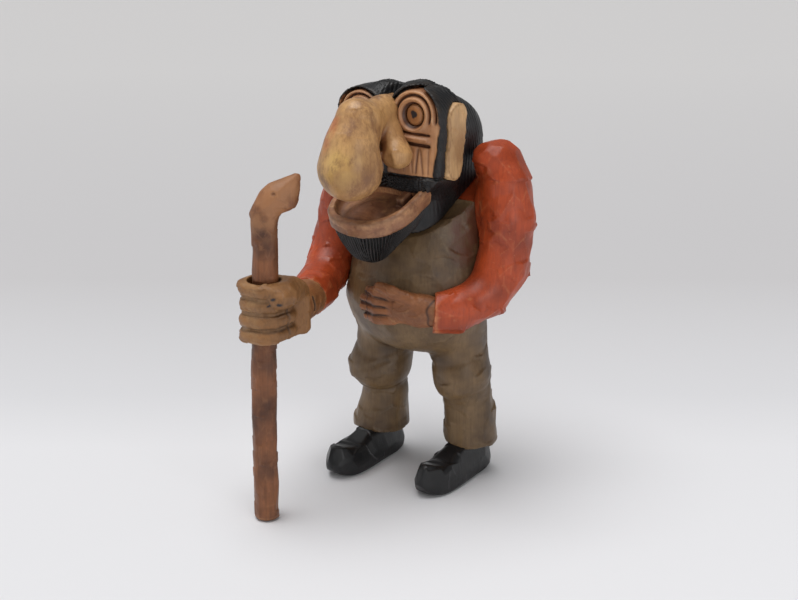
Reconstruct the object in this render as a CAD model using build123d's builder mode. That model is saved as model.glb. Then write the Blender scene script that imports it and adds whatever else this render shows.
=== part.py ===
"""A carved wooden figurine: a stooping old man with a drooping nose, who leans on a stick.

The figure is an assembly of carved limewood blocks, glued on flat or bedded faces and
located by hidden dowels. Only the stick is loose: it stands in the bored right fist and
lifts straight out of it.

Frame: millimetres, +Z up, the soles on z = 0. The figure faces -Y and its own left hand
is on the +X side. The origin lies on the floor, midway between the two feet.
"""

import os
from math import cos, radians, sin

from build123d import *

# ---------------------------------------------------------------- driving dimensions
HEAD_TOP = 421.0  # height of the crown
BROW_Y = -45.0  # the flat front of the head block
NECK_SLOPE = 33.0  # degrees, the slanting glue face between the head and the body
NECK_HEIGHT = 298.0  # where that face crosses the vertical through the origin
WAIST = 190.0  # height of the lap joint between trousers and shirt back
LAP_FACE = 12.0  # y of the upright face of that lap joint

FOOT_SPREAD = 52.0  # each foot's distance from the middle plane
RIGHT_STEP = -19.0  # how far the right foot is set ahead of the left
HEM_HEIGHT = 35.0  # underside of the trouser legs
CLOG_WIDTH = 41.0

EYE_X, EYE_Z = 32.0, 396.0
EYE_RADIUS = 10.5
EYE_DEPTH = 9.0  # how deep each eye plug sits in its socket
EYE_PROUD = 4.0  # how far the dome stands out
EYE_DOME = 16.0  # radius of the dome
RING_DEPTH = 3.0  # the groove carved around each eye
RING_WIDTH = 4.0
BROW_X = 34.0  # middle of each brow's arch
BROW_WIDTH = 53.0
BROW_TOP = 419.0
BROW_DEPTH = 27.0
CHEEK_BOTTOM = 341.0
EAR_Y, EAR_Z = -16.0, 370.0
EAR_LENGTH, EAR_HEIGHT = 30.0, 75.0
EAR_THICKNESS = 15.5
EAR_TILT = -4.0  # degrees, the top of each ear leans back
JAW_SLOPE = 22.0  # degrees, how the lower lip rises towards the corners of the mouth
JAW_THICKNESS = 18.0
MOUTH_DEPTH = 9.0
LIP_WIDTH = 9.0
TONGUE_RADIUS = 14.0
BEARD_TIP = 249.0  # underside of the beard
BEARD_GROOVE = 1.8  # radius of its combed grooves

STICK_X, STICK_Y = -45.0, -188.0  # where the stick stands
CROOK_TURN = 37.0  # degrees from +X towards +Y, the way the crook points
STICK_LEAN = 1.0  # degrees, the stick and the fist's bore lean that way together
STICK_RADIUS = 12.9
STICK_BOW = 1.2  # how far the grown stick wanders off its axis
FIST_BORE_RADIUS = 15.2
FIST_MIDDLE = (-41.5, -182.0)  # middle of the curled fingers
FIST_BOTTOM, FIST_TOP = 189.0, 251.0

DOWEL_RADIUS = 5.0
DOWEL_CLEARANCE = 0.05
NECK_DOWEL = 44.0  # dowel lengths
SHOULDER_DOWEL = 40.0
ANKLE_DOWEL = 30.0
BACK_DOWEL = 40.0
NOSE_DOWEL = 40.0
JAW_DOWEL = 24.0
JAW_DOWEL_RADIUS = 3.0  # thin ones, because the jaw is only a shelf there
WRIST_DOWEL = 26.0
TENON_RADIUS = 9.0  # the spigots at both ends of the right wrist
TENON_LENGTH = 68.0
COLLAR_RADIUS = 19.0  # the wrist itself, between sleeve and palm
COLLAR_LENGTH = 36.0

# The figure is laid out about the floor point between its feet. The part's own origin is the
# middle of the whole footprint, stick included, and this is where the feet stand from there.
FEET = Location((-7, 61, 0))

os.makedirs("parts", exist_ok=True)

neck_plane = Plane(
    origin=(0, 0, NECK_HEIGHT),
    x_dir=(1, 0, 0),
    z_dir=(0, -sin(radians(NECK_SLOPE)), cos(radians(NECK_SLOPE))),
)

# Dowel centres; each dowel lies along its location's z axis.
neck_dowel_spots = [neck_plane.location * Location((x, 24, 0)) for x in (-26, 26)]
right_shoulder_spot = Location((-69, -1, 276), (0, 90, 0))
left_shoulder_spot = Location((72, 28, 300), (0, 90, 0))
ankle_dowel_spots = [
    Location((-FOOT_SPREAD, 25 + RIGHT_STEP, HEM_HEIGHT)),
    Location((FOOT_SPREAD, 25, HEM_HEIGHT)),
]
back_dowel_spots = [Location((x, LAP_FACE, 232), (90, 0, 0)) for x in (-34, 34)]
nose_dowel_spot = Location((0, BROW_Y - 4, 376), (90, 0, 0))
jaw_dowel_spots = [Location((x, BROW_Y, 309), (90 + JAW_SLOPE, 0, 0)) for x in (-20, 20)]
left_wrist_spot = Plane(origin=(60, -50, 201), z_dir=(0.75, 0.66, 0)).location
tenon_plane = Plane(origin=(-52, -121, 209), x_dir=(0, 0, 1), z_dir=(0.3, -0.95, 0))
sleeve_end = tenon_plane.offset(-COLLAR_LENGTH / 2)
palm_back = tenon_plane.offset(COLLAR_LENGTH / 2)

# The stick's own frame: x along the crook, z up its leaning axis, the foot at the origin.
stick_frame = Location((STICK_X, STICK_Y, 0), (0, 0, CROOK_TURN)) * Location((0, 0, 0), (0, STICK_LEAN, 0))


def write(part, name):
    """Labels one finished sub-part, places it in the part's frame and writes its STEP file."""
    placed = part.moved(FEET)
    placed.label = name
    export_step(placed, f"parts/{name}.step")


def elliptical_loft(stations):
    """A smooth body through ellipses, each given as (plane, x radius, y radius)."""
    with BuildPart() as body:
        for plane, x_radius, y_radius in stations:
            with BuildSketch(plane):
                Ellipse(x_radius, y_radius)
        loft()
    return body.part


def rounded_loft(stations):
    """A smooth body through level rounded rectangles: (z, width, front y, back y, corner)."""
    with BuildPart() as body:
        for z, width, front, back, corner in stations:
            with BuildSketch(level(z, y=(front + back) / 2)):
                RectangleRounded(width, back - front, corner)
        loft()
    return body.part


def limb(bend_axis, stations):
    """A bent limb through ellipses: (centre, direction, radius on the bend axis, other)."""
    return elliptical_loft(
        [
            (Plane(origin=centre, x_dir=bend_axis, z_dir=direction), across, along)
            for centre, direction, across, along in stations
        ]
    )


def level(z, x=0.0, y=0.0):
    """A horizontal section plane."""
    return Plane(origin=(x, y, z))


def block(x, y, z, mode=Mode.ADD):
    """A box between the given limits, as part of the block being made."""
    with Locations(((x[0] + x[1]) / 2, (y[0] + y[1]) / 2, (z[0] + z[1]) / 2)):
        Box(x[1] - x[0], y[1] - y[0], z[1] - z[0], mode=mode)


def dowel_holes(spots, length, radius=DOWEL_RADIUS):
    """Bores dowel holes through the block being made."""
    with Locations(*spots):
        Cylinder(radius + DOWEL_CLEARANCE, length, mode=Mode.SUBTRACT)


def dowels(spots, length, radius=DOWEL_RADIUS):
    """Turned dowels, shorter than their holes and chamfered at both ends."""
    with BuildPart() as pins:
        with Locations(*spots):
            Cylinder(radius, length - 1.0)
        chamfer(pins.edges().filter_by(GeomType.CIRCLE), 0.8)
    return pins.part


# ---------------------------------------------------------------- the trunk, unsawn
# Belly, chest and hump are one shape, then sawn into two blocks at the lap joint.
with BuildPart() as trunk:
    add(
        elliptical_loft(
            [
                (level(139, y=11), 56, 38),
                (level(158, y=9), 75, 56),
                (level(200, y=5), 79, 62),
                (level(250, y=10), 75, 62),
                (level(300, y=22), 68, 56),
                (level(340, y=32), 58, 48),
                (level(366, y=40), 42, 34),
            ]
        )
    )
    split(bisect_by=neck_plane, keep=Keep.BOTTOM)


def trouser_leg(hip, knee, shin, hem, hem_radius):
    """One leg through (x, y) centres: thigh, knee bulge, narrower shin, flared hem."""
    return elliptical_loft(
        [
            (level(168, *hip), 30, 40),
            (level(130, *hip), 32, 38),
            (level(100, *knee), 31, 35),
            (level(72, *shin), 27, 30),
            (level(HEM_HEIGHT + 14, *hem), hem_radius, 31),
            (level(HEM_HEIGHT, *hem), hem_radius - 1, 30),
        ]
    )


right_leg = trouser_leg((-42, 9), (-45, 5), (-48, 10), (-51, 27 + RIGHT_STEP), 33)
left_leg = trouser_leg((40, 18), (51, 22), (54, 27), (54, 29), 31)

with BuildPart() as body_block:
    add(trunk.part)
    add(right_leg)
    add(left_leg)
    block((-200, 200), (LAP_FACE, 200), (WAIST, 500), mode=Mode.SUBTRACT)
    dowel_holes(ankle_dowel_spots, ANKLE_DOWEL)
    dowel_holes(back_dowel_spots, BACK_DOWEL)
    dowel_holes([right_shoulder_spot], SHOULDER_DOWEL)

with BuildPart() as shirt_back:
    add(trunk.part)
    block((-200, 200), (LAP_FACE, 200), (WAIST, 500), mode=Mode.INTERSECT)
    dowel_holes(back_dowel_spots, BACK_DOWEL)
    dowel_holes([left_shoulder_spot], SHOULDER_DOWEL)
    dowel_holes(neck_dowel_spots, NECK_DOWEL)

# ---------------------------------------------------------------- the head
def face_half(side):
    """One brow and cheek, standing square in front of the rounded skull."""
    with BuildPart() as half:
        with BuildSketch(Plane.XZ.offset(0.6 - BROW_Y)):
            with Locations((side * BROW_X, (CHEEK_BOTTOM + BROW_TOP) / 2)):
                RectangleRounded(BROW_WIDTH, BROW_TOP - CHEEK_BOTTOM, BROW_WIDTH / 2 - 2)
        extrude(amount=-BROW_DEPTH)
        fillet(half.edges().group_by(Axis.Y)[0], 3)
    return half.part


with BuildPart() as skull:
    add(
        rounded_loft(
            [
                (262, 84, -36, 50, 26),
                (300, 92, -42, 56, 30),
                (335, 106, BROW_Y, 64, 34),
                (365, 119, BROW_Y, 62, 38),
                (388, 121, BROW_Y, 48, 32),
                (403, 114, BROW_Y + 1, 30, 27),
                (414, 90, BROW_Y + 4, 10, 20),
                (HEAD_TOP, 46, BROW_Y + 11, -12, 9),
            ]
        )
    )
    add(face_half(-1))
    add(face_half(1))
    split(bisect_by=neck_plane, keep=Keep.TOP)

eye_planes = [
    Plane(origin=(side * EYE_X, BROW_Y + 3, EYE_Z), x_dir=(1, 0, 0), z_dir=(side * 0.15, -1, 0))
    for side in (-1, 1)
]

with BuildPart() as head_block:
    add(skull.part)
    # the eye sockets, each with a ring groove around the plug
    for plane in eye_planes:
        with BuildSketch(plane.offset(-EYE_DEPTH)):
            Circle(EYE_RADIUS + DOWEL_CLEARANCE)
        extrude(amount=30, mode=Mode.SUBTRACT)
        with BuildSketch(plane.offset(-RING_DEPTH)):
            Circle(EYE_RADIUS + RING_WIDTH)
        extrude(amount=30, mode=Mode.SUBTRACT)
    dowel_holes(neck_dowel_spots, NECK_DOWEL)
    dowel_holes([nose_dowel_spot], NOSE_DOWEL)
    dowel_holes(jaw_dowel_spots, JAW_DOWEL, JAW_DOWEL_RADIUS)


def eye(plane):
    """A domed eye plug."""
    with BuildPart() as plug:
        with BuildSketch(plane.offset(-EYE_DEPTH)):
            Circle(EYE_RADIUS)
        extrude(amount=EYE_DEPTH + 8)
        with Locations(plane.offset(EYE_PROUD - EYE_DOME).location):
            Sphere(EYE_DOME, mode=Mode.INTERSECT)
    return plug.part


with BuildPart() as nose_block:
    add(
        elliptical_loft(
            [
                (level(321, y=-104), 11, 11),
                (level(329, y=-105), 25, 24),
                (level(346, y=-105), 31, 30),
                (level(368, y=-98), 28, 39),
                (level(395, y=-82), 25, 50),
                (level(410, y=-74), 20, 44),
                (level(416, y=-74), 12, 32),
            ]
        )
    )
    # the two nostril wings
    with Locations((-24, -60, 360), (24, -60, 360)):
        Sphere(15.5)
    block((-60, 60), (BROW_Y, 60), (300, 450), mode=Mode.SUBTRACT)
    add(skull.part, mode=Mode.SUBTRACT)
    dowel_holes([nose_dowel_spot], NOSE_DOWEL)


def ear(side):
    """A flat slab ear with rounded edges and a hollow, bedded against the skull."""
    with BuildPart() as slab:
        with BuildSketch(Plane.YZ.offset(side * 50)):
            with Locations(Location((EAR_Y, EAR_Z), EAR_TILT)):
                Ellipse(EAR_LENGTH / 2, EAR_HEIGHT / 2)
        extrude(amount=side * EAR_THICKNESS)
        fillet(slab.faces().sort_by(Axis.X)[-1 if side > 0 else 0].edges(), 4)
        add(skull.part, mode=Mode.SUBTRACT)
    return slab.part


right_ear = ear(-1)
left_ear = ear(1)

# ---------------------------------------------------------------- jaw and beard
def jaw_outline(plane, inset=0.0):
    """The U of the lower jaw, drawn on the given plane as seen from above."""
    with BuildSketch(plane) as outline:
        with BuildLine():
            Spline(
                (-45 + inset, 72),
                (-43 + inset, 46),
                (-33 + inset, 14 + inset / 2),
                (0, inset),
                (33 - inset, 14 + inset / 2),
                (43 - inset, 46),
                (45 - inset, 72),
            )
            Line((45 - inset, 72), (-45 + inset, 72))
        make_face()
    return outline.sketch


jaw_rim = Plane(
    origin=(0, -111, 297),
    x_dir=(1, 0, 0),
    z_dir=(0, -sin(radians(JAW_SLOPE)), cos(radians(JAW_SLOPE))),
)

jaw_underside = jaw_rim.offset(-JAW_THICKNESS)
mouth_floor = jaw_rim.offset(-MOUTH_DEPTH)

with BuildPart() as jaw_block:
    extrude(jaw_outline(jaw_underside), amount=JAW_THICKNESS)
    # the hollow of the mouth, with a tongue left standing in it
    extrude(jaw_outline(mouth_floor, inset=LIP_WIDTH), amount=40, mode=Mode.SUBTRACT)
    with Locations(mouth_floor.location * Location((0, 40, -7))):
        Sphere(TONGUE_RADIUS)
    split(bisect_by=jaw_underside, keep=Keep.TOP)
    block((-80, 80), (BROW_Y, 60), (200, 450), mode=Mode.SUBTRACT)
    add(skull.part, mode=Mode.SUBTRACT)
    dowel_holes(jaw_dowel_spots, JAW_DOWEL, JAW_DOWEL_RADIUS)

# The beard's outlines: (y, z) seen from the side and (x, z) seen from the front.
beard_side = [
    (-112, 290),
    (-104, 276),
    (-82, BEARD_TIP),
    (-68, BEARD_TIP),
    (BROW_Y, 276),
    (BROW_Y, 330),
    (-112, 330),
]
beard_front = [(-46, 330), (-44, 296), (-16, BEARD_TIP), (16, BEARD_TIP), (44, 296), (46, 330)]

with BuildPart() as beard_block:
    extrude(jaw_outline(jaw_underside, inset=3), amount=-60)
    # the wedge, cut to its side view and to its front view
    with BuildSketch(Plane.YZ):
        with BuildLine():
            Polyline(*beard_side, close=True)
        make_face()
    extrude(amount=80, both=True, mode=Mode.INTERSECT)
    with BuildSketch(Plane.XZ):
        with BuildLine():
            Polyline(*beard_front, close=True)
        make_face()
    extrude(amount=150, both=True, mode=Mode.INTERSECT)
    # combed grooves down the front
    with Locations(*[Location((x, -95, 262.5), (-39, 0, 0)) for x in (-18, -9, 0, 9, 18)]):
        Cylinder(BEARD_GROOVE, 60, mode=Mode.SUBTRACT)

# ---------------------------------------------------------------- sleeves
with BuildPart() as left_arm:
    add(
        limb(
            (0.8, -0.6, 0),
            [
                ((89, 25, 360), (0.2, 0, -1), 18, 20),
                ((95, 24, 336), (0.15, 0, -1), 25, 26),
                ((100, 22, 290), (0, 0, -1), 27, 28),
                ((97, 18, 243), (-0.1, -0.15, -1), 27, 28),
                ((92, 0, 213), (-0.5, -0.7, -0.5), 25, 25),
                ((76, -30, 203), (-0.6, -0.8, 0), 21, 23),
                ((60, -50, 201), (-0.75, -0.66, 0), 19, 22),
            ],
        )
    )
    add(trunk.part, mode=Mode.SUBTRACT)
    add(skull.part, mode=Mode.SUBTRACT)
    add(left_ear, mode=Mode.SUBTRACT)
    dowel_holes([left_shoulder_spot], SHOULDER_DOWEL)
    dowel_holes([left_wrist_spot], WRIST_DOWEL)

with BuildPart() as right_arm:
    add(
        limb(
            (0.95, 0.3, 0),
            [
                ((-74, 12, 354), (-0.25, -0.1, -1), 14, 17),
                ((-84, 2, 332), (-0.1, -0.2, -1), 22, 25),
                ((-88, -8, 292), (0, -0.2, -1), 23, 25),
                ((-90, -17, 252), (0, -0.3, -1), 23, 27),
                ((-87, -38, 218), (0.1, -0.8, -0.5), 23, 27),
                ((-72, -73, 209), (0.3, -0.95, 0), 22, 23),
                (sleeve_end.origin, tenon_plane.z_dir, 21, 21.5),
            ],
        )
    )
    add(trunk.part, mode=Mode.SUBTRACT)
    add(skull.part, mode=Mode.SUBTRACT)
    add(right_ear, mode=Mode.SUBTRACT)
    dowel_holes([right_shoulder_spot], SHOULDER_DOWEL)
    dowel_holes([tenon_plane.location], TENON_LENGTH, TENON_RADIUS)

# ---------------------------------------------------------------- hands
with BuildPart() as left_hand:
    add(
        limb(
            (0, 0, 1),
            [
                ((64, -45, 202), (-0.8, -0.6, 0), 17, 13),
                ((44, -59, 203), (-0.9, -0.4, 0), 20, 13),
                ((22, -65, 205), (-1, -0.1, 0), 23, 12),
                ((-2, -67, 204), (-1, 0, 0), 21, 10),
                ((-17, -64, 203), (-1, 0.2, 0), 15, 5),
            ],
        )
    )
    # grooves between the fingers
    with Locations(*[Location((2, -80, z), (0, 90, 0)) for z in (193, 203, 213)]):
        Cylinder(4.5, 52, mode=Mode.SUBTRACT)
    add(trunk.part, mode=Mode.SUBTRACT)
    add(left_arm.part, mode=Mode.SUBTRACT)
    dowel_holes([left_wrist_spot], WRIST_DOWEL)

finger_height = (FIST_TOP - FIST_BOTTOM) / 4
with BuildPart() as right_hand:
    # four fingers curled around the stick, one above the other
    for k in range(4):
        with BuildPart(mode=Mode.PRIVATE) as finger:
            with BuildSketch(level(FIST_BOTTOM + k * finger_height, *FIST_MIDDLE)):
                RectangleRounded(51, 49, 19)
            extrude(amount=finger_height + 0.4)
            fillet(finger.edges().group_by(Axis.Z)[0] + finger.edges().group_by(Axis.Z)[-1], 5)
        add(finger.part)
    with BuildSketch(level(FIST_BOTTOM + 3, *FIST_MIDDLE)):
        RectangleRounded(45, 44, 17)
    extrude(amount=FIST_TOP - FIST_BOTTOM - 6)
    # the palm, cut square to the wrist, and the thumb laid over the index finger
    with BuildSketch(level(FIST_BOTTOM + 1, STICK_X - 2, -148)):
        RectangleRounded(38, 50, 15)
    extrude(amount=FIST_TOP - FIST_BOTTOM - 14)
    add(
        limb(
            (0, 0, 1),
            [
                ((-40, -143, 230), (0.2, -1, 0.1), 11, 11),
                ((-31, -160, 236), (0.3, -1, 0.1), 13, 12.5),
                ((-23, -179, 239), (0.2, -1, 0), 12.5, 12),
                ((-20, -192, 239), (0.1, -1, 0), 9, 9),
            ],
        )
    )
    split(bisect_by=palm_back, keep=Keep.TOP)
    with Locations(stick_frame * Location((0, 0, (FIST_TOP + FIST_BOTTOM) / 2))):
        Cylinder(FIST_BORE_RADIUS, 100, mode=Mode.SUBTRACT)
    dowel_holes([tenon_plane.location], TENON_LENGTH, TENON_RADIUS)

with BuildPart() as wrist_tenon:
    with Locations(tenon_plane.location):
        Cylinder(COLLAR_RADIUS, COLLAR_LENGTH)
        Cylinder(TENON_RADIUS, TENON_LENGTH - 1)

# ---------------------------------------------------------------- clogs
def clog(x, y):
    """A clog with an upturned toe: side view, plan outline and front view intersected."""
    with BuildPart() as shoe:
        with BuildSketch(Plane.YZ.offset(x - 40)):
            with BuildLine():
                Line((y - 34, 0), (y + 27, 0))
                Spline((y + 27, 0), (y + 50, 8), (y + 59, 24), (y + 57, HEM_HEIGHT))
                Line((y + 57, HEM_HEIGHT), (y + 10, HEM_HEIGHT))
                Line((y + 10, HEM_HEIGHT), (y + 6, 46))
                Spline(
                    (y + 6, 46), (y - 10, 38), (y - 26, 30), (y - 38, 30), (y - 47, 35), (y - 55, 36),
                    (y - 60, 24), (y - 52, 9), (y - 34, 0)
                )
            make_face()
        extrude(amount=80)
        with BuildSketch(level(-1)):
            with BuildLine():
                Spline(
                    (x - 5, y - 61), (x - 12, y - 48), (x - CLOG_WIDTH / 2, y - 22),
                    (x - 17, y + 20), (x - 16, y + 48), (x, y + 61), (x + 16, y + 48),
                    (x + 17, y + 20), (x + CLOG_WIDTH / 2, y - 22), (x + 12, y - 48),
                    (x + 5, y - 61),
                )
                Line((x + 5, y - 61), (x - 5, y - 61))
            make_face()
        extrude(amount=80, mode=Mode.INTERSECT)
        with BuildSketch(Plane.XZ.offset(-y - 80)):
            with BuildLine():
                Polyline(
                    (x - 22, 0), (x + 22, 0), (x + 22, 18), (x + 10, 47), (x - 10, 47), (x - 22, 18), close=True
                )
            make_face()
        extrude(amount=160, mode=Mode.INTERSECT)
        add(right_leg, mode=Mode.SUBTRACT)
        add(left_leg, mode=Mode.SUBTRACT)
        dowel_holes(ankle_dowel_spots, ANKLE_DOWEL)
    return shoe.part


# ---------------------------------------------------------------- the stick
def stick_station(u, height, bend, along, across):
    """A section of the stick: u towards the crook, bend in degrees from its axis."""
    return Plane(stick_frame * Location((u, 0, height), (0, bend, 0))), along, across


with BuildPart() as cane:
    add(
        elliptical_loft(
            [
                stick_station(0, -4, 0, STICK_RADIUS - 2, STICK_RADIUS - 2),
                stick_station(0, 10, 0, STICK_RADIUS, STICK_RADIUS),
                stick_station(-STICK_BOW, 90, 0, STICK_RADIUS, STICK_RADIUS),
                stick_station(-STICK_BOW, 160, 0, STICK_RADIUS, STICK_RADIUS),
                stick_station(0, 220, 0, STICK_RADIUS - 0.4, STICK_RADIUS),
                stick_station(STICK_BOW, 265, 0, STICK_RADIUS, STICK_RADIUS),
                stick_station(STICK_BOW / 2, 300, 0, STICK_RADIUS, STICK_RADIUS),
                stick_station(1.5, 317, 12, STICK_RADIUS + 0.5, STICK_RADIUS),
                stick_station(8, 328, 45, 15, STICK_RADIUS),
                stick_station(17, 334, 62, 16.5, 12),
                stick_station(25, 341, 50, 12, 10),
                stick_station(31, 350, 40, 5, 5),
            ]
        )
    )
    block((-200, 200), (-400, 0), (-50, 0), mode=Mode.SUBTRACT)

# ---------------------------------------------------------------- writing
write(body_block.part, "body_block")
write(shirt_back.part, "shirt_back")
write(head_block.part, "head_block")
write(nose_block.part, "nose_block")
write(jaw_block.part, "jaw_block")
write(beard_block.part, "beard_block")
write(eye(eye_planes[0]), "right_eye")
write(eye(eye_planes[1]), "left_eye")
write(right_ear, "right_ear")
write(left_ear, "left_ear")
write(left_arm.part, "left_arm")
write(right_arm.part, "right_arm")
write(left_hand.part, "left_hand")
write(right_hand.part, "right_hand")
write(clog(1.5 - FOOT_SPREAD, RIGHT_STEP - 3), "right_clog")
write(clog(FOOT_SPREAD + 1.5, -2), "left_clog")
write(cane.part, "cane")
write(wrist_tenon.part, "wrist_tenon")
write(dowels(neck_dowel_spots, NECK_DOWEL), "neck_dowels")
write(dowels([right_shoulder_spot, left_shoulder_spot], SHOULDER_DOWEL), "shoulder_dowels")
write(dowels(ankle_dowel_spots, ANKLE_DOWEL), "ankle_dowels")
write(dowels(back_dowel_spots, BACK_DOWEL), "back_dowels")
write(dowels([nose_dowel_spot], NOSE_DOWEL), "nose_dowel")
write(dowels(jaw_dowel_spots, JAW_DOWEL, JAW_DOWEL_RADIUS), "jaw_dowels")
write(dowels([left_wrist_spot], WRIST_DOWEL), "wrist_dowel")
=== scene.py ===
"""The looks of a carved wooden figurine: a stooping old man who leans on a loose stick.

Each block is carved as a solid field on a grid (distances in millimetres, negative
inside), turned into a mesh, cut into gouge facets where the knife left them, and given
a procedural wood. All places are in the part's own frame: +Z up, the face towards -Y.
"""

import math

import bpy
import mathutils
import numpy as np
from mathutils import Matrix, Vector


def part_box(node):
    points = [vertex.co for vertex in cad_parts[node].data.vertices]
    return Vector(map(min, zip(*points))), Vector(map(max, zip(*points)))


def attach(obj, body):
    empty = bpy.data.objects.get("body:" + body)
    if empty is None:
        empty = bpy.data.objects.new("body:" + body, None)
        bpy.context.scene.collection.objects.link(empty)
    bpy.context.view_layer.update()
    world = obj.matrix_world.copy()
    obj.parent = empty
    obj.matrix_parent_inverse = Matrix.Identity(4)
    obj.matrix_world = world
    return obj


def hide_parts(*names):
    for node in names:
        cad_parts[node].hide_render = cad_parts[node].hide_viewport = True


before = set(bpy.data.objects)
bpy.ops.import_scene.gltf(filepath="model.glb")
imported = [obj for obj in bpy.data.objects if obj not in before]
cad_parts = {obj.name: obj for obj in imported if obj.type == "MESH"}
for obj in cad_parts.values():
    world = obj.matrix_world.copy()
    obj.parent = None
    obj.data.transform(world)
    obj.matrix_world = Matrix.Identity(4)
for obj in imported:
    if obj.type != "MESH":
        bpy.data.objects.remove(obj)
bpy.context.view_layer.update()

# ---------------------------------------------------------------- driving values, in mm
MM = 0.001
FINE = 1.05  # grid step for the head and hands
COARSE = 1.4  # grid step for the big blocks
HAIR = 0.68  # grid step for combed grooves
PAD = 9.0  # room around each CAD node for its carved surface


def node_box(node, feet=(0, 0, 0)):
    """The lowest and highest corners of a CAD node in mm, measured from the feet."""
    low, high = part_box(node)
    return np.array(low) / MM - feet, np.array(high) / MM - feet


# Every shape below is laid out from the floor point between the two clogs.
right_clog_box, left_clog_box = node_box("right_clog"), node_box("left_clog")
FEET = np.array(
    [
        (right_clog_box[0][0] + left_clog_box[1][0]) / 2 - 1.5,
        left_clog_box[1][1] - 58.6,
        0,
    ]
)
BROW_Y = node_box("nose_block", FEET)[1][1]  # the front face of the skull
CROWN = node_box("head_block", FEET)[1][2]
HEM = 35.0  # underside of the trouser legs
NECK_SLOPE = math.radians(33)  # the glue face between head and trunk
NECK_HEIGHT = 298.0
EYE_X, EYE_Z, EYE_RADIUS = 32.0, 396.0, 10.5
LEFT_BROW_TOP, RIGHT_BROW_TOP = 422.0, 415.5  # one brow was carved higher
JAW_SLOPE = math.radians(22)
JAW_FRONT = np.array([0.0, -111.0, 297.0])  # the front of the lower lip
STICK_FOOT = np.array([-45.0, -188.0])
CROOK_TURN, STICK_LEAN = math.radians(37), math.radians(1)
STICK_RADIUS, STICK_BOW = 12.9, 1.5
BORE_RADIUS = 15.2
FIST_BOTTOM, FIST_TOP = 189.0, 251.0
FACE_PANEL_BOTTOM = 322.0  # underside of the two halves of the face
EAR_CENTRE = (61.5, -21.0, 370.0)
EAR_HALF = (6.2, 13.5, 37.5)
FINGERS = ((218, -9), (208.5, -16), (199, -17), (189.5, -12))  # left hand: height, tip x
FINGER_GAPS = (213.5, 203.8, 194.3)
RIDGE_WEAR = 0.28  # how much a ridge between two gouge facets counts as worn
FACET_TRAVEL = (-1.8, 1.7)  # the furthest a facet may sink or raise the surface
FACET_LEVEL = 0.45  # where an average facet lies
RIDGE_WIDTH = 0.35
FAR_FACET = 9.0  # stands for a facet too far away to cut here


# ---------------------------------------------------------------- field primitives
def smooth_min(a, b, k):
    """Joins two fields with a fillet about k wide."""
    h = np.clip(0.5 + 0.5 * (b - a) / k, 0, 1)
    return b + (a - b) * h - k * h * (1 - h)


def smooth_max(a, b, k):
    """Intersects two fields with a rounded edge about k wide."""
    return -smooth_min(-a, -b, k)


def cut(a, b, k=1.0):
    """Takes field b away from field a."""
    return smooth_max(a, -b, k)


def join(k, *fields):
    """Smoothly joins any number of fields."""
    total = fields[0]
    for field in fields[1:]:
        total = smooth_min(total, field, k)
    return total


def ellipsoid(p, centre, radii):
    """An ellipsoid along the axes."""
    q = [(p[i] - centre[i]) / radii[i] for i in range(3)]
    k0 = np.sqrt(q[0] ** 2 + q[1] ** 2 + q[2] ** 2)
    k1 = np.sqrt((q[0] / radii[0]) ** 2 + (q[1] / radii[1]) ** 2 + (q[2] / radii[2]) ** 2)
    return k0 * (k0 - 1) / np.maximum(k1, 1e-6)


def bone(p, a, b, radius_a, radius_b):
    """A round bar from a to b whose radius changes along it."""
    a, b = np.array(a, float), np.array(b, float)
    d = b - a
    h = ((p[0] - a[0]) * d[0] + (p[1] - a[1]) * d[1] + (p[2] - a[2]) * d[2]) / d.dot(d)
    h = np.clip(h, 0, 1)
    r2 = (p[0] - a[0] - h * d[0]) ** 2 + (p[1] - a[1] - h * d[1]) ** 2 + (p[2] - a[2] - h * d[2]) ** 2
    return np.sqrt(r2) - radius_a - (radius_b - radius_a) * h


def chain(p, points, k=8.0):
    """Bones through (point, radius) pairs."""
    bones = [bone(p, a, b, ra, rb) for (a, ra), (b, rb) in zip(points, points[1:])]
    return join(k, *bones)


def plane(p, point, normal):
    """A half-space: positive on the side the normal points to."""
    n = np.array(normal, float)
    n /= np.linalg.norm(n)
    return (p[0] - point[0]) * n[0] + (p[1] - point[1]) * n[1] + (p[2] - point[2]) * n[2]


def slab(p, centre, half, rounding, turn=None):
    """A box with rounded edges; turn is a rotation matrix whose rows are its axes."""
    q = [p[i] - centre[i] for i in range(3)]
    if turn is not None:
        q = [q[0] * row[0] + q[1] * row[1] + q[2] * row[2] for row in turn]
    e = [np.abs(q[i]) - half[i] + rounding for i in range(3)]
    outside = np.sqrt(sum(np.maximum(v, 0) ** 2 for v in e))
    inside = np.minimum(np.maximum(np.maximum(e[0], e[1]), e[2]), 0)
    return outside + inside - rounding


def rounded_2d(x, y, half_x, half_y, rounding):
    """A rounded rectangle in a plane; every argument may be an array."""
    ex, ey = np.abs(x) - half_x + rounding, np.abs(y) - half_y + rounding
    outside = np.sqrt(np.maximum(ex, 0) ** 2 + np.maximum(ey, 0) ** 2)
    return outside + np.minimum(np.maximum(ex, ey), 0) - rounding


def along(z, levels, column):
    """Reads one column of a table of levels at heights z, smoothly."""
    heights = [row[0] for row in levels]
    fine = np.linspace(heights[0], heights[-1], 120)
    values = np.interp(fine, heights, [row[column] for row in levels])
    for _ in range(60):
        values[1:-1] = 0.25 * values[:-2] + 0.5 * values[1:-1] + 0.25 * values[2:]
    return np.interp(z, fine, values)


def turned_z(degrees):
    """Rotation rows for a box turned about Z."""
    c, s = math.cos(math.radians(degrees)), math.sin(math.radians(degrees))
    return [(c, s, 0), (-s, c, 0), (0, 0, 1)]


# ---------------------------------------------------------------- from field to mesh
CORNERS = np.array([(i, j, k) for i in (0, 1) for j in (0, 1) for k in (0, 1)])
EDGES = [(a, b) for a in range(8) for b in range(a + 1, 8) if np.abs(CORNERS[a] - CORNERS[b]).sum() == 1]


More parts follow.
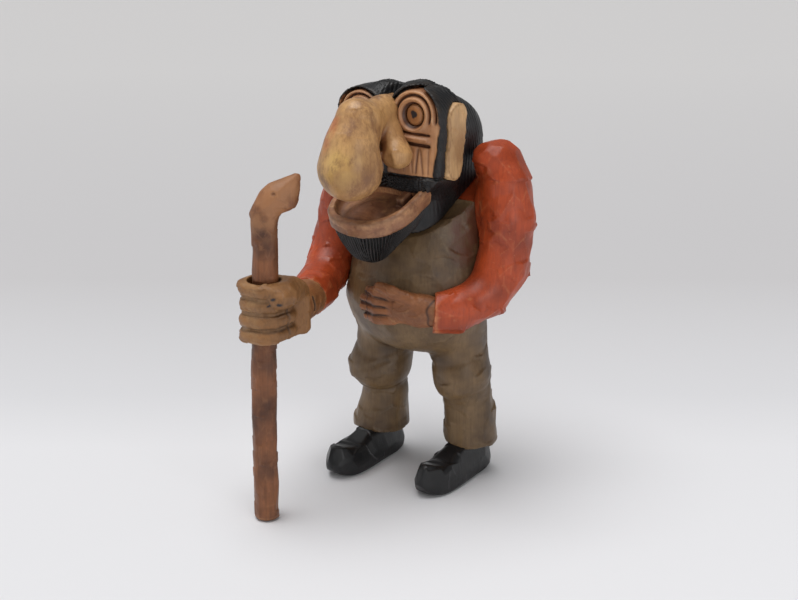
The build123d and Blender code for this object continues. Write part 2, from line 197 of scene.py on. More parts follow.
def sample(field, points):
    """Reads a field array at fractional grid points, with linear blending."""
    top = np.array(field.shape) - 2
    cell = np.clip(np.floor(points).astype(int), 0, top)
    f = np.clip(points - cell, 0, 1)
    total = np.zeros(len(points))
    for corner in CORNERS:
        weight = np.prod(np.where(corner == 1, f, 1 - f), axis=1)
        i, j, k = (cell + corner).T
        total += weight * field[i, j, k]
    return total


def one_piece(vertices, quads):
    """Keeps the largest connected surface and drops loose crumbs."""
    label = np.arange(len(vertices))
    while True:
        lowest = label[quads].min(axis=1)
        better = label.copy()
        for column in range(4):
            np.minimum.at(better, quads[:, column], lowest)
        better = better[better]
        if np.array_equal(better, label):
            break
        label = better
    group = label[quads[:, 0]]
    kept = quads[group == np.bincount(group).argmax()]
    used, index = np.unique(kept, return_inverse=True)
    return vertices[used], index.reshape(-1, 4)


def surface_net(field):
    """Meshes the zero surface: one vertex in each crossed cell, one quad on each crossed edge."""
    inside = field < 0
    nx, ny, nz = np.array(field.shape) - 1
    count = sum(inside[i : i + nx, j : j + ny, k : k + nz].astype(np.int8) for i, j, k in CORNERS)
    cells = np.argwhere((count > 0) & (count < 8))
    number = np.full(count.shape, -1, np.int64)
    number[tuple(cells.T)] = np.arange(len(cells))
    values = [field[tuple((cells + corner).T)] for corner in CORNERS]
    points = np.zeros((len(cells), 3))
    crossings = np.zeros(len(cells))
    for a, b in EDGES:
        fa, fb = values[a], values[b]
        crossed = (fa < 0) != (fb < 0)
        t = np.where(crossed, fa / np.where(crossed, fa - fb, 1), 0)
        spot = CORNERS[a] + t[:, None] * (CORNERS[b] - CORNERS[a])
        points += np.where(crossed[:, None], spot, 0)
        crossings += crossed
    vertices = cells + points / crossings[:, None]
    quads = []
    for axis in range(3):
        u, v = [(1, 2), (2, 0), (0, 1)][axis]
        low = [slice(1, -1)] * 3
        low[axis] = slice(0, -1)
        high = [slice(1, -1)] * 3
        high[axis] = slice(1, None)
        first, second = inside[tuple(low)], inside[tuple(high)]
        for going_out in (True, False):
            start = (first & ~second) if going_out else (~first & second)
            edge = np.argwhere(start)
            edge += np.array([0 if i == axis else 1 for i in range(3)])
            du, dv = np.eye(3, dtype=int)[u], np.eye(3, dtype=int)[v]
            ring = [edge - du - dv, edge - dv, edge, edge - du]
            if not going_out:
                ring.reverse()
            quads.append(np.stack([number[tuple(r.T)] for r in ring], 1))
    return one_piece(vertices, np.concatenate(quads))


def vertex_normals(vertices, quads):
    """Area-weighted vertex normals."""
    d1 = vertices[quads[:, 2]] - vertices[quads[:, 0]]
    d2 = vertices[quads[:, 3]] - vertices[quads[:, 1]]
    face = np.cross(d1, d2)
    normals = np.zeros_like(vertices)
    for column in range(4):
        for axis in range(3):
            normals[:, axis] += np.bincount(quads[:, column], face[:, axis], len(vertices))
    return normals / np.maximum(np.linalg.norm(normals, axis=1, keepdims=True), 1e-9)


def gouge(vertices, normals, size, depth, seed, where=None):
    """Cuts the surface into flat facets about size across, as a gouge leaves it.

    Each vertex moves along its normal to the lowest of the tangent planes around it.
    Returns the moved vertices and how near each is to a ridge between two facets.
    """
    rng = np.random.default_rng(seed)
    order = rng.permutation(len(vertices))[:6000]
    seeds = []
    for i in order:
        if all(np.sum((vertices[i] - vertices[j]) ** 2) > (size * 0.75) ** 2 for j in seeds):
            seeds.append(i)
    centres, facing = vertices[seeds], normals[seeds]
    facing = facing + rng.normal(0, 0.07, facing.shape)
    facing /= np.linalg.norm(facing, axis=1, keepdims=True)
    shift = np.zeros(len(vertices))
    ridge = np.zeros(len(vertices))
    for start in range(0, len(vertices), 20000):
        part = slice(start, start + 20000)
        v, n = vertices[part], normals[part]
        gap = np.linalg.norm(v[:, None] - centres[None], axis=2)
        lean = n @ facing.T
        height = np.einsum("vsk,sk->vs", v[:, None] - centres[None], facing)
        travel = -height / np.maximum(lean, 0.3)
        near = (gap < size * 1.7) & (lean > 0.35)
        travel = np.where(near, travel + 0.012 * gap, FAR_FACET)
        nearest = np.sort(travel, axis=1)[:, :2]
        lowest = np.where(nearest[:, 0] > FAR_FACET - 1, FACET_LEVEL, nearest[:, 0])
        shift[part] = np.clip(lowest, *FACET_TRAVEL)
        ridge[part] = np.exp(-(nearest[:, 1] - nearest[:, 0]) / RIDGE_WIDTH)
    shift = (shift - FACET_LEVEL) * depth
    if where is not None:
        shift *= where
        ridge *= where
    return vertices + normals * shift[:, None], ridge


def carve(name, node, field_of, material, step, facets=None, marks=None, body="figure"):
    """Makes one visual piece from a field function and lays it over its CAD node.

    facets is (size, depth, seed) or None; marks maps an attribute's name to a function
    of the vertices (N, 3) that returns a value for each.
    """
    low, high = node_box(node, FEET)
    low, high = low - PAD, high + PAD
    axes = [np.arange(low[i], high[i] + step, step, dtype=np.float32) for i in range(3)]
    p = (axes[0][:, None, None], axes[1][None, :, None], axes[2][None, None, :])
    field = np.ascontiguousarray(np.broadcast_to(field_of(p), [len(a) for a in axes])).astype(np.float32)
    field[[0, -1]] = np.maximum(field[[0, -1]], step)
    field[:, [0, -1]] = np.maximum(field[:, [0, -1]], step)
    field[:, :, [0, -1]] = np.maximum(field[:, :, [0, -1]], step)
    spots, quads = surface_net(field)
    vertices = spots * step + low
    normals = vertex_normals(vertices, quads)
    # hollow: how closed in each spot is, used later as painted shade in the hollows; worn: how far it stands
    # out, for the rubbed edges
    hollow = np.zeros(len(vertices))
    worn = np.zeros(len(vertices))
    for reach in (2.5, 6.0):
        outer = sample(field, spots + normals * reach / step)
        inner = sample(field, spots - normals * reach / step)
        hollow += 0.5 * np.clip(1 - outer / reach, 0, 1)
        worn += 0.5 * np.clip(1 + inner / reach, 0, 1)
    extra = {label: function(vertices) for label, function in (marks or {}).items()}
    if facets is not None:
        size, depth, seed = facets
        vertices, ridge = gouge(vertices, normals, size, depth, seed, extra.get("facet"))
        worn = np.clip(worn + RIDGE_WEAR * ridge, 0, 1)
    mesh = bpy.data.meshes.new(name)
    mesh.from_pydata(((vertices + FEET) * MM).tolist(), [], quads.tolist())
    mesh.polygons.foreach_set("use_smooth", np.ones(len(quads), bool))
    for label, values in {"hollow": hollow, "worn": worn, **extra}.items():
        layer = mesh.attributes.new(label, "FLOAT", "POINT")
        layer.data.foreach_set("value", np.asarray(values, np.float32))
    mesh.update()
    piece = bpy.data.objects.new(name, mesh)
    bpy.context.collection.objects.link(piece)
    mesh.materials.append(material)
    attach(piece, body)
    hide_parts(node)


# ---------------------------------------------------------------- the trunk and trousers
TRUNK = [  # height, centre y, half width, half depth
    (139, 11, 58, 40),
    (158, 9, 75, 56),
    (200, 5, 79, 62),
    (250, 10, 75, 62),
    (300, 22, 68, 56),
    (340, 32, 58, 48),
    (366, 40, 42, 34),
]


def trunk(p):
    x, y, z = p
    cy, a, b = (along(z, TRUNK, column) for column in (1, 2, 3))
    barrel = (np.sqrt((x / a) ** 2 + ((y - cy) / b) ** 2) - 1) * np.minimum(a, b)
    belly = ellipsoid(p, (0, -4, 196), (72, 57, 50))
    return smooth_max(smooth_min(barrel, belly, 12), 141 - z, 14)


def trouser_legs(p):
    right = join(
        10,
        bone(p, (-42, 9, 158), (-45, 4, 112), 33, 33),
        ellipsoid(p, (-49, -2, 108), (31, 31, 27)),
    )
    right_shin = chain(p, [((-43, 9, 96), 23.5), ((-46.5, 10, 75), 25.5), ((-51, 8, 42), 31)], 5)
    left = join(
        10,
        bone(p, (40, 18, 158), (49, 20, 112), 33, 31),
        ellipsoid(p, (52, 14, 112), (29, 30, 30)),
    )
    left_shin = chain(p, [((52, 23, 96), 27), ((54, 27, 70), 27), ((54, 29, 44), 30)], 6)
    legs = np.minimum(smooth_min(right, right_shin, 2.5), smooth_min(left, left_shin, 4))
    for height, slope, depth in ((92, 0.25, 1.6), (118, -0.35, 1.2), (133, 0.25, 1.0)):
        legs = legs + groove(p[2] - height - slope * (np.abs(p[0]) - 48) - 0.2 * p[1], 3.5, depth)
    return smooth_max(legs, HEM - p[2], 2)


def neck(p):
    return plane(p, (0, 0, NECK_HEIGHT), (0, -math.sin(NECK_SLOPE), math.cos(NECK_SLOPE)))


def body_block(p):
    whole = smooth_min(trunk(p), trouser_legs(p), 9)
    back_rebate = np.maximum(12.2 - p[1], 190.2 - p[2])
    return np.maximum(np.maximum(whole, neck(p)), -back_rebate)


def shirt_back(p):
    rebate = np.maximum(12 - p[1], 190 - p[2])
    return np.maximum(np.maximum(trunk(p) - 1.5, neck(p)), rebate)


# ---------------------------------------------------------------- the sleeves
def left_sleeve(p):
    arm = chain(
        p,
        [
            ((85, 26, 344), 20),
            ((95, 23, 325), 25),
            ((100, 22, 290), 27.5),
            ((97, 17, 240), 27.5),
            ((90, 0, 214), 24),
            ((76, -30, 203), 22),
            ((56, -52, 201), 21),
        ],
        7,
    )
    shoulder = ellipsoid(p, (83, 25, 346), (25, 27, 20))
    armpit = ellipsoid(p, (75, 26, 298), (17, 20, 46))
    return smooth_max(join(6, arm, shoulder, armpit), plane(p, (60, -50, 201), (-0.8, -0.6, 0)), 2)


def right_sleeve(p):
    arm = chain(
        p,
        [
            ((-76, 8, 340), 19),
            ((-85, -2, 318), 23),
            ((-88, -10, 285), 24),
            ((-89, -20, 248), 24.5),
            ((-84, -42, 218), 24),
            ((-71, -75, 209), 22.5),
            ((-54, -115, 209), 21),
        ],
        7,
    )
    return smooth_max(arm, plane(p, (-57.4, -103.9, 209), (0.3, -0.95, 0)), 2)


# ---------------------------------------------------------------- the head
SKULL = [  # height, half width, front y, back y, corner
    (262, 42, -36, 50, 26),
    (300, 46, -42, 56, 30),
    (335, 53, -45, 64, 34),
    (365, 59.5, -45, 62, 38),
    (388, 60.5, -45, 48, 32),
    (403, 57, -44, 30, 27),
    (414, 45, -41, 10, 20),
    (421, 23, -34, -12, 9),
]


def skull_shape(p):
    x, y, z = p
    half, front, back, corner = (along(z, SKULL, column) for column in (1, 2, 3, 4))
    drum = rounded_2d(x, y - (front + back) / 2, half, (back - front) / 2, corner)
    drum = smooth_max(drum, (z - CROWN) * 0.8, 10)
    top = np.where(x > 0, LEFT_BROW_TOP, RIGHT_BROW_TOP)
    middle, half_height = (top + FACE_PANEL_BOTTOM) / 2, (top - FACE_PANEL_BOTTOM) / 2
    halves = rounded_2d(np.abs(x) - 34.5, z - middle, 28.5, half_height, 25)
    halves = smooth_max(halves, np.abs(y + 28) - 18, 5)
    skull = smooth_min(drum, halves, 21)
    valley = ellipsoid(p, (0, -46, 419), (9.5, 26, 14))
    return cut(skull, valley, 4)


def nose_shape(p):
    shaft = chain(p, [((0, -94, 395), 21), ((0, -101, 372), 25.5), ((0, -104, 350), 29)], 8)
    ball = ellipsoid(p, (0, -105, 349), (30.5, 30, 29.5))
    bridge = chain(p, [((0, -34, 403), 10.5), ((0, -56, 398), 14.5), ((0, -80, 392), 19)], 8)
    mirrored = (np.abs(p[0]), p[1], p[2])
    flank = chain(mirrored, [((3, -52, 394), 10.5), ((9, -57, 378), 13), ((19, -60, 366), 13)], 8)
    lobe = ellipsoid(mirrored, (23, -62, 359), (15.5, 16.5, 14.5))
    crease = bone(mirrored, (24, -86, 376), (22, -78, 346), 3.5, 7)
    nose = smooth_min(join(9, shaft, ball, bridge), join(5, flank, lobe), 3.5)
    return cut(nose, crease, 5)


def groove(distance, width, depth):
    """How far to sink a surface at a distance from a groove's middle line."""
    return depth * np.exp(-((distance / width) ** 2))


CHEEK_LINES = ((-9, 0.8, 0.1), (-2, 1.0, -0.1), (5, 1.5, 0.12), (9, 1.2, -0.1), (17, 0.9, 0.04))


def face_marks(p, skull):
    """Sinks and raises the face: hairline, brows, eye rings, lids, bags, cheeks."""
    x, y, z = p
    ax = np.abs(x)
    front = np.clip((-18 - y) / 10, 0, 1)
    ex, ez = ax - EYE_X, z - EYE_Z
    rise = np.where(x > 0, 1.0, (RIGHT_BROW_TOP - EYE_Z) / (LEFT_BROW_TOP - EYE_Z))
    ring = np.sqrt(ex**2 + np.where(ez > 0, ez / rise, ez) ** 2)
    upper = np.clip(0.5 + (ez + 7) / 5, 0, 1)
    sink = groove(ring - (EYE_RADIUS + 1.2), 1.3, 2.4)
    sink = sink - groove(ring - (EYE_RADIUS + 5), 2.0, 1.8)
    sink = sink + upper * groove(ring - (EYE_RADIUS + 8.8), 1.2, 3.0)
    sink = sink - upper * groove(ring - (EYE_RADIUS + 12), 2.2, 2.4)
    sink = sink + upper * groove(ring - (EYE_RADIUS + 15.3), 1.3, 2.6)
    sink = sink - upper * groove(ring - (EYE_RADIUS + 18.5), 2.2, 1.6)
    bag = np.clip((19 - np.abs(ex - 1)) / 3, 0, 1)
    slant = ez + 0.06 * ex
    sink = sink + bag * groove(slant + 17.5, 1.1, 3.0)
    sink = sink - bag * groove(slant + 22.5, 2.6, 3.0)
    sink = sink + bag * groove(slant + 28, 1.5, 3.6)
    cheek = np.clip((-29 - ez) / 4, 0, 1) * np.clip((ez + 59) / 3, 0, 1)
    for spot, depth, lean in CHEEK_LINES:
        sink = sink + cheek * groove(ex - spot - lean * (ez + 40), 1.2, depth)
    sink = sink + np.clip((30 - np.abs(ex)) / 3, 0, 1) * groove(ez + 60.5, 1.3, 2.4)
    return skull + front * sink


def panel(p):
    """The bare face panel, positive inside: brow arch above, hair to the side, moustache below."""
    x, y, z = p
    ax = np.abs(x)
    top = np.where(x > 0, LEFT_BROW_TOP, RIGHT_BROW_TOP) + 0.5
    arch = 1 - np.sqrt(((ax - 34) / 27.5) ** 2 + ((z - 390) / (top - 390)) ** 2)
    side = np.interp(z, (340, 365, 395), (54, 59, 61))
    column = np.minimum(np.minimum(side - ax, ax - 3) / 26, (z - 337) / 26)
    below = np.clip((396 - z) / 8, 0, 1)
    return np.maximum(arch, column * below - (1 - below)) * 26


def moustache(p):
    """Sinks short combed strokes into the strip between the cheeks and the mouth."""
    ax = np.abs(p[0])
    strip = np.clip((336 - p[2]) / 2, 0, 1) * np.clip((p[2] - 320) / 2, 0, 1)
    strip = strip * np.clip((-38 - p[1]) / 3, 0, 1)
    fan = (p[2] - 327) * (1.1 + 0.02 * ax) + 0.55 * ax
    strokes = np.abs(np.sin(fan * 0.8 + 0.6 * np.sin(ax * 0.35)))
    return strip * (2.2 * (1 - strokes) ** 1.1 - 1.5) * np.clip((52 - ax) / 4, 0, 1)


def hair_strands(p):
    """The phase of the combed hair: strands run back over the crown and down the sides."""
    x, y, z = p
    over = x * 1.0 + 0.25 * y
    side = y * 0.8 + 0.35 * z
    down = np.clip((np.abs(x) - 44) / 14, 0, 1)
    return over * (1 - down) + side * down


def head_block(p):
    skull = skull_shape(p)
    bare = panel(p)
    front = np.clip((-34 - p[1]) / 5, 0, 1)
    step = np.clip(bare / 1.6, -1, 1) * 0.5 + 0.5
    hair = 1 - step * front
    skull = skull + 1.8 * step * front
    strands = 0.30 * np.sin(hair_strands(p) * 2.0) + 0.22 * np.sin(hair_strands(p) * 3.3 + 0.03 * p[2])
    skull = skull - hair * strands * np.clip((p[2] - 290) / 10, 0, 1)
    skull = face_marks(p, skull) + moustache(p)
    socket = np.sqrt((np.abs(p[0]) - EYE_X) ** 2 + (p[2] - EYE_Z) ** 2) - EYE_RADIUS - 0.3
    skull = cut(skull, np.maximum(socket, p[1] + 38), 1.0)
    skull = cut(skull, np.minimum(ear_of(1)(p), ear_of(-1)(p)) - 0.4, 1.0)
    return np.maximum(skull, -neck(p))


def nose_block(p):
    return smooth_max(nose_shape(p), p[1] - BROW_Y - 11, 1)


def ear_of(side):
    """A long slab ear, its top leaning back a little, narrower at the lobe."""

    def field(p):
        narrow = 1 + 0.005 * np.clip(360 - p[2], -20, 40)
        q = (p[0], -16 + (p[1] + 16) * narrow, p[2])
        lean = 0.09 * (p[2] - EAR_CENTRE[2])
        sway = 0.9 * np.sin(q[2] * 0.11 + 1.0) + 0.5 * np.sin(q[2] * 0.23)
        outline = rounded_2d(
            q[1] - EAR_CENTRE[1] - lean + sway, q[2] - EAR_CENTRE[2], EAR_HALF[1], EAR_HALF[2], 13
        )
        ear = smooth_max(outline, np.abs(q[0] - side * EAR_CENTRE[0]) - EAR_HALF[0], 4)
        lines = 0.25 * np.sin((p[1] + 0.2 * p[2]) * 1.6) + 0.2 * np.sin((p[1] + 0.17 * p[2]) * 2.9)
        return ear + lines * np.clip((side * p[0] - 62) / 3, 0, 1)

    return field


def eye_of(side):
    """A low domed plug with a flat face."""

    def field(p):
        lean = p[1] + side * 0.15 * (p[0] - side * EYE_X)
        ring = np.sqrt((p[0] - side * EYE_X) ** 2 + (p[2] - EYE_Z) ** 2)
        disc = smooth_max(ring - EYE_RADIUS, BROW_Y - 3.0 - lean, 3.5)
        return np.maximum(disc, p[1] - BROW_Y - 9)

    return field


# ---------------------------------------------------------------- jaw and beard
def jaw_frame(p):
    """Distances along the lower lip's slope, above it, and from its outline."""
    c, s = math.cos(JAW_SLOPE), math.sin(JAW_SLOPE)
    dy, dz = p[1] - JAW_FRONT[1], p[2] - JAW_FRONT[2]
    back, up = dy * c + dz * s, dz * c - dy * s
    bow = np.maximum(50 - back, 0) / 50
    outline = ((np.abs(p[0]) / 47) ** 2.4 + bow**2.4) ** (1 / 2.4)
    return back, up, (outline - 1) * 47


def jaw_block(p):
    back, up, rim = jaw_frame(p)
    lip = smooth_max(rim, np.abs(up + 9) - 9.5, 5)
    lip = lip + groove(up + 7.5, 1.0, 0.7)
    tongue = ellipsoid((p[0], back, up), (-3, 32, -11), (19, 24, 7))
    hollow = smooth_max(rim + 8.5, -up - 9.5, 6)
    hollow = cut(hollow, tongue, 4)
    stub = slab((p[0], back, up), (26, 60, -6.5), (5, 9, 5.5), 2)
    jaw = smooth_min(cut(lip, hollow, 2.5), smooth_max(stub, rim + 4, 2), 2)
    return np.maximum(jaw, p[1] - BROW_Y - 7)


def beard_block(p):
    back, up, rim = jaw_frame(p)
    wedge = np.maximum(rim + 2.5, up + 17)
    front = plane(p, (0, -104, 276), (0, -27, -22))
    flank = plane((np.abs(p[0]), p[1], p[2]), (41, 0, 296), (47, 0, -30))
    rear = plane(p, (0, -68, 249), (0, 27, -23))
    for face in (front, flank, rear, 250.5 - p[2]):
        wedge = smooth_max(wedge, face, 7)
    turn = np.arctan2(p[0], -(p[1] + 58)) * 42
    comb = np.abs(np.sin(turn * 1.0 + 0.6 * np.sin(p[2] * 0.11 + turn * 0.3)))
    wedge = wedge + 2.6 * (1 - comb) ** 1.2 - 0.7
    return np.maximum(wedge, p[1] - BROW_Y - 1)


# ---------------------------------------------------------------- hands and wrist
def left_hand(p):
    back_of_hand = chain(
        p, [((66, -46, 202), 14.5), ((48, -56, 203), 16), ((28, -61, 204), 18)], 6
    )
    back_of_hand = back_of_hand + 0.25 * np.maximum(-60 - p[1], 0)
    fingers = []
    for k, (height, reach) in enumerate(FINGERS):
        knuckle = (22, -66.5, 204 + (height - 204) * 0.9)
        middle = (4, -70.5 + 0.5 * k, height)
        tip = (reach, -66 + 0.3 * k, height - 1)
        fingers.append(chain(p, [(knuckle, 6.4), (middle, 5.9), (tip, 4.7)], 3))
    fingers = join(0.8, *fingers)
    thumb = chain(p, [((44, -64, 214), 8), ((24, -71, 222), 6.6), ((8, -72, 225), 5.4)], 3)
    hand = join(3.5, back_of_hand, fingers)
    hand = smooth_min(hand, thumb, 1.2)
    nails = groove(p[0] + 10, 0.8, 0.7) * np.clip((-66 - p[1]) / 3, 0, 1)
    hand = hand + nails
    inside_body = trunk(p) + 2.0
    hand = np.maximum(hand, -inside_body)
    return np.maximum(hand, -plane(p, (60, -50, 201), (-0.8, -0.6, 0)) - 3)


def stick_local(p):
    """Coordinates in the stick's frame: towards the crook, across it, up its axis."""
    x, y = p[0] - STICK_FOOT[0], p[1] - STICK_FOOT[1]
    ct, st = math.cos(CROOK_TURN), math.sin(CROOK_TURN)
    u, v = x * ct + y * st, -x * st + y * ct
    cl, sl = math.cos(STICK_LEAN), math.sin(STICK_LEAN)
    return u * cl - p[2] * sl, v, u * sl + p[2] * cl


THUMB = [
    ((-40, -142, 229), 11),
    ((-29, -160, 236), 13),
    ((-19.5, -181, 238), 12.2),
    ((-17.5, -190, 237.5), 11.7),
]


def right_hand(p):
    curl = rounded_2d(p[0] + 41.5, p[1] + 182, 26, 25, 19)
    pitch = (FIST_TOP - FIST_BOTTOM) / 4
    rolls = []
    for k in range(4):
        middle = FIST_BOTTOM + (k + 0.5) * pitch
        bulge = 0.7 * math.sin(2.1 * k + 0.5)
        lift = 0.10 * (p[0] - STICK_FOOT[0]) * (1 - k / 3.5)
        across = np.maximum(curl + 7.5 - bulge, 0)
        rolls.append(np.sqrt(across**2 + (p[2] - middle - lift) ** 2) - 7.9)
    rolls = join(1.0, *rolls)
    core = smooth_max(curl + 3.2, np.abs(p[2] - 220) - 27, 4)
    palm = slab(p, (-46.0, -154, 214.5), (20.5, 24, 25.5), 11)
    heel = slab(p, (-29.0, -158, 211), (8.5, 19, 22), 7, turned_z(-10))
    grip = join(2.5, core, palm, heel)
    fist = smooth_min(rolls, grip, 1.2)
    fingertips = np.exp(-(((p[1] + 179) / 1.0) ** 2)) * np.clip((p[0] + 28) / 4, 0, 1)
    fist = fist + 1.8 * fingertips * np.clip((236 - p[2]) / 3, 0, 1)
    thumb = chain(p, THUMB, 5)
    fist = smooth_min(fist, thumb, 1.4)
    u, v, _ = stick_local(p)
    fist = smooth_max(fist, BORE_RADIUS - np.sqrt(u**2 + v**2), 1.0)
    return np.maximum(fist, plane(p, (-46.6, -138.1, 209), (-0.3, 0.95, 0)))


def wrist(p):
    axis_point, axis = (-52, -121, 209), np.array([0.3, -0.95, 0]) / math.hypot(0.3, 0.95)
    run = plane(p, axis_point, axis)
    r2 = sum((p[i] - axis_point[i] - run * axis[i]) ** 2 for i in range(3))
    round_bar = smooth_max(np.sqrt(r2) - 19.2, np.abs(run) - 20, 2)
    slit = slab(p, (-32.5, -124, 212), (5, 1.3, 7), 1)
    return cut(round_bar, slit, 0.8)


# ---------------------------------------------------------------- clogs
CLOG = [  # place along the shoe, underside, top, half width
    (-61, 12, 27, 5),
    (-58, 6, 36, 9),
    (-51, 3, 39.5, 14),
    (-45, 1, 36.5, 17),
    (-38, -1, 31.5, 19),
    (-26, -1, 30, 20.3),
    (-12, -1, 34.5, 20.2),
    (2, -1, 41, 19),
    (20, -1, 43, 18),
    (44, -1, 42, 17),
    (53, 3, 39, 15),
    (60, 10, 32, 8),
]


def clog_at(x0, y0):
    def field(p):
        y = p[1] - y0
        low, high, half = (along(y, CLOG, column) for column in (1, 2, 3))
        half = half - 0.32 * np.clip(p[2] - 16, 0, 30)
        shoe = rounded_2d(p[0] - x0, p[2] - (low + high) / 2, half, (high - low) / 2, np.minimum(7, half - 1))
        ends = np.maximum(-61 - y, y - 60)
        return np.maximum(smooth_max(shoe, ends, 5), -p[2] + 0.05)

    return field


# ---------------------------------------------------------------- the stick
BEND = [  # height, drift towards the crook
    (-10, 0.0),
    (90, -STICK_BOW),
    (160, -STICK_BOW),
    (220, 0.0),
    (265, STICK_BOW),
    (300, 0.75),
    (330, 0.75),
]


CROOK = [  # middle line towards the tip, and the radius there
    ((1.2, 0, 306), 12.6),
    ((3, 0, 318), 12.8),
    ((9, 0, 328), 13.4),
    ((17, 0, 333), 14),
    ((25, 0, 341), 9.5),
    ((31, 0, 350), 4.6),
]


def cane(p):
    u, v, s = stick_local(p)
    drift = along(s, BEND, 1)
    turn = np.arctan2(v, u - drift)
    radius = np.sqrt((u - drift) ** 2 + v**2)
    rough = 0.16 * np.sin(turn * 9 + 0.02 * s) + 0.12 * np.sin(turn * 17 + 2 + 0.05 * s)
    rough = rough + 0.1 * np.sin(turn * 4 + s * 0.07)
    low = np.clip((235 - s) / 30, 0, 1)
    stem = radius - STICK_RADIUS + 0.3 + rough * low
    stem = smooth_max(smooth_max(stem, s - 318, 4), 1.2 - s, 3)
    stem = np.maximum(stem, -p[2] + 0.02)
    q = (u, v, s)
    crook = chain(q, CROOK, 5)
    crook = smooth_min(crook, ellipsoid(q, (21, 0, 327), (11, 10, 9)), 5)
    crook = crook + 0.1 * np.maximum(np.abs(v) - 8, 0)
    whole = smooth_min(stem, crook, 4)
    pit = np.sqrt((u - 11) ** 2 + (v + 12.5) ** 2 + (s - 337) ** 2) - 2.2
    return cut(whole, pit, 0.8)


# ---------------------------------------------------------------- where colours change
def lift_from_floor(v):
    return np.clip((v[:, 2] - 2.5) / 3, 0, 1)


def bare_face(v):
    p = (v[:, 0], v[:, 1], v[:, 2])
    wobble = 0.5 * np.sin(v[:, 2] * 0.3) + 0.25 * np.sin(v[:, 2] * 0.8 + v[:, 0] * 0.5)
    edge = np.where(v[:, 2] > 400, -32, -37)
    face = np.clip((panel(p) + wobble) / 1.2 + 0.5, 0, 1) * np.clip((edge - v[:, 1]) / 3, 0, 1)
    palate = np.clip((320 - v[:, 2]) / 1.5, 0, 1) * np.clip((44 - np.abs(v[:, 0])) / 2, 0, 1)
    palate = palate * np.clip((-38 - v[:, 1]) / 2, 0, 1)
    between_brows = np.clip((9.5 - np.abs(v[:, 0]) + 0.5 * wobble) / 1.5, 0, 1)
    between_brows = between_brows * np.clip((-22 - v[:, 1]) / 3, 0, 1)
    between_brows = between_brows * np.clip((v[:, 2] - 380) / 5, 0, 1) * np.clip((409 - v[:, 2]) / 2, 0, 1)
    return np.maximum(np.maximum(face, palate), between_brows)


def face_line_shade(v):
    """How deep the carved lines of the face lie, for the painted shade in them."""
    p = (v[:, 0], v[:, 1], v[:, 2])
    return np.clip(face_marks(p, np.zeros(len(v))) / 2.0, 0, 1)


def nose_flush(v):
    """The red rub on the right side of the nose's ridge."""
    d = np.sqrt(((v[:, 0] + 14) / 12) ** 2 + ((v[:, 2] - 385) / 24) ** 2 + ((v[:, 1] + 115) / 22) ** 2)
    return np.clip(1.2 - d, 0, 1)


def nose_pale(v):
    """The pale rubbed ball of the nose."""
    d = np.sqrt(((v[:, 0] - 2) / 24) ** 2 + ((v[:, 2] - 358) / 24) ** 2)
    return np.clip(1.3 - d, 0, 1) * np.clip((-108 - v[:, 1]) / 12, 0, 1)


def armpit_rub(v):
    """The patch beside the bib that the stain missed, inside the left sleeve."""
    d = np.sqrt(((v[:, 0] - 70) / 14) ** 2 + ((v[:, 1] + 12) / 30) ** 2 + ((v[:, 2] - 282) / 40) ** 2)
    return np.clip((1.1 - d) * 3, 0, 1)


def hand_cut_shade(v):
    """Painted shade in the cuts between the left hand's fingers, across its knuckles and round its wrist."""
    x, y, z = v[:, 0], v[:, 1], v[:, 2]
    on_fingers = np.clip((24 - x) / 8, 0, 1) * np.clip((-62 - y) / 3, 0, 1)
    fan = 204 + (z - 204) / (1 + 0.012 * np.clip(6 - x, -20, 20))
    cuts = sum(groove(fan - height, 0.9, 1) for height in FINGER_GAPS) * on_fingers
    cuts = cuts + groove(x + 8 + 0.8 * np.sin(z * 0.5), 0.9, 0.8) * np.clip((-64 - y) / 3, 0, 1)
    cuts = cuts + groove(x - 63 + 0.8 * np.sin(z * 0.4), 1.1, 0.8)
    return np.clip(cuts, 0, 1)


def crook_top(v):
    """The handled end of the stick, rubbed paler than its foot."""
    return np.clip((v[:, 2] - 285) / 25, 0, 1) * 0.6


def thumb_ink(v):
    """Dark nicks on the end of the thumb."""
    nicks = np.zeros(len(v))
    for x, z, wide, high in ((-17, 239, 3.2, 1.6), (-11, 234, 2.6, 1.8), (-22, 232, 1.6, 1.2)):
        d = np.sqrt(((v[:, 0] - x) / wide) ** 2 + ((v[:, 2] - z - 0.3 * (v[:, 0] - x)) / high) ** 2)
        nicks = np.maximum(nicks, np.clip((1.2 - d) * 2, 0, 1))
    return nicks * np.clip((-192 - v[:, 1]) / 3, 0, 1)


def pupil_of(side):
    def mark(v):
        d = np.sqrt((v[:, 0] - side * EYE_X - 0.5) ** 2 + (v[:, 2] - EYE_Z - 1) ** 2)
        angle = np.arctan2(v[:, 2] - EYE_Z, v[:, 0] - side * EYE_X)
        return np.clip((3.9 + 0.6 * np.sin(angle * 3 + 1) - d) / 0.8 + 0.5, 0, 1)

    return mark


# ---------------------------------------------------------------- materials
def linear(red, green, blue):
    """A colour from 0 to 255 on a screen, as light."""
    shares = [c / 255 for c in (red, green, blue)]
    light = [c / 12.92 if c <= 0.04 else ((c + 0.055) / 1.055) ** 2.4 for c in shares]
    return (*light, 1)


